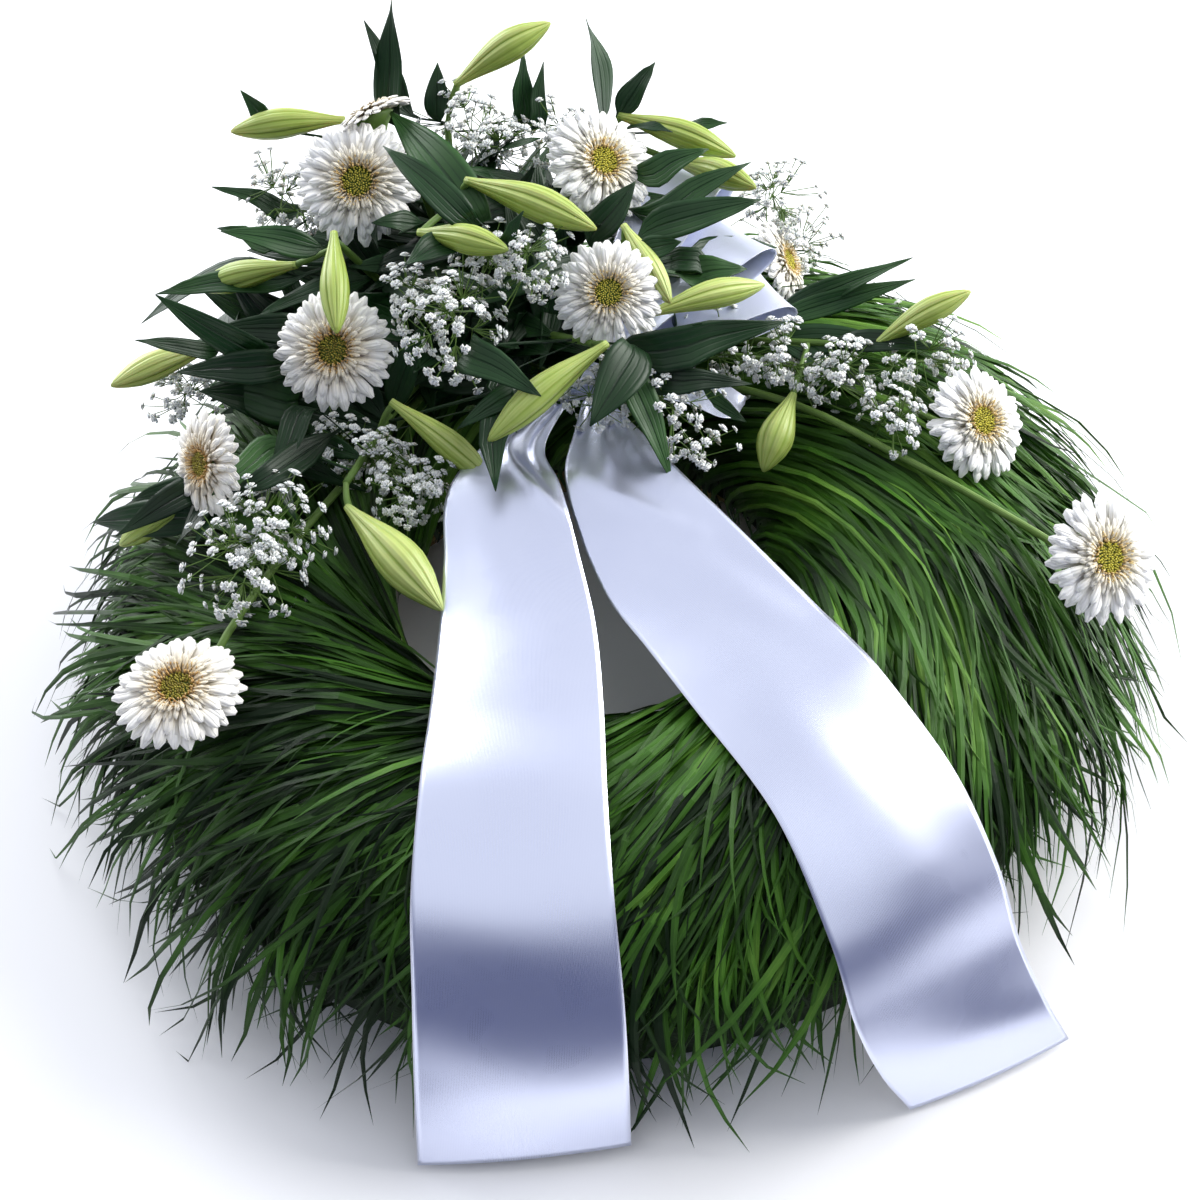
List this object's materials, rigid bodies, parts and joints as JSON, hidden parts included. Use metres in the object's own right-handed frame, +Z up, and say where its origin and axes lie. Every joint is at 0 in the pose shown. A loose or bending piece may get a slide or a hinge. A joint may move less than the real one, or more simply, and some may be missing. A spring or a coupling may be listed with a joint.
{
  "type": "memorial wreath",
  "caption": "Funeral wreath lying flat: grass bound over a straw ring, a spray of white gerberas, lily buds and gypsophila on one side, and a satin bow with long tails.",
  "frame": {"origin": "the ring's centre at ground level, in the plane that the wreath rests on", "axes": "+Z up out of the wreath's face; -Y towards the front, where the ribbon tails lie; +X to the right seen from the front"},
  "size_m": [0.9352, 0.9352, 0.4534],
  "materials": {
    "straw": "dry straw, matt",
    "wire": "green lacquered wire",
    "tray": "dark green moulded plastic",
    "foam": "wet floral foam",
    "grass": "fresh grass blades with a soft sheen",
    "petal": "satin white petals",
    "lily": "waxy leaves and buds",
    "gypsophila": "small matt white flowers",
    "ribbon": "satin"
  },
  "bodies": {
    "root": {"straw_ring": "straw", "binding_wire": "wire", "tray_pin_left": "wire", "tray_pin_right": "wire", "foam_tray": "tray", "foam_block": "foam", "grass_bunch_01": "grass", "grass_bunch_02": "grass", "grass_bunch_03": "grass", "grass_bunch_04": "grass", "grass_bunch_05": "grass", "grass_bunch_06": "grass", "grass_bunch_07": "grass", "grass_bunch_08": "grass", "grass_bunch_09": "grass", "grass_bunch_10": "grass", "grass_bunch_11": "grass", "grass_bunch_12": "grass", "gerbera_back_left": "petal", "gerbera_top_left": "petal", "gerbera_top_right": "petal", "gerbera_centre": "petal", "gerbera_left": "petal", "gerbera_far_left": "petal", "gerbera_ring_right": "petal", "gerbera_ring_far_right": "petal", "gerbera_ring_left": "petal", "gerbera_back_right": "petal", "lily_back": "lily", "lily_back_right": "lily", "lily_back_left": "lily", "lily_middle": "lily", "lily_left": "lily", "lily_far_left": "lily", "lily_front_left": "lily", "lily_front": "lily", "lily_right": "lily", "lily_ring_right": "lily", "lily_low_left": "lily", "gypsophila_back": "gypsophila", "gypsophila_back_left": "gypsophila", "gypsophila_middle": "gypsophila", "gypsophila_front_left": "gypsophila", "gypsophila_left": "gypsophila", "gypsophila_knot": "gypsophila", "gypsophila_right": "gypsophila", "gypsophila_ring_right": "gypsophila", "gypsophila_back_right": "gypsophila", "gypsophila_far_left": "gypsophila", "ribbon_tail_left": "ribbon", "ribbon_tail_right": "ribbon", "ribbon_knot": "ribbon", "bow_loop_back": "ribbon", "bow_loop_middle": "ribbon", "bow_loop_front": "ribbon", "bow_end": "ribbon"}
  },
  "joints": []
}
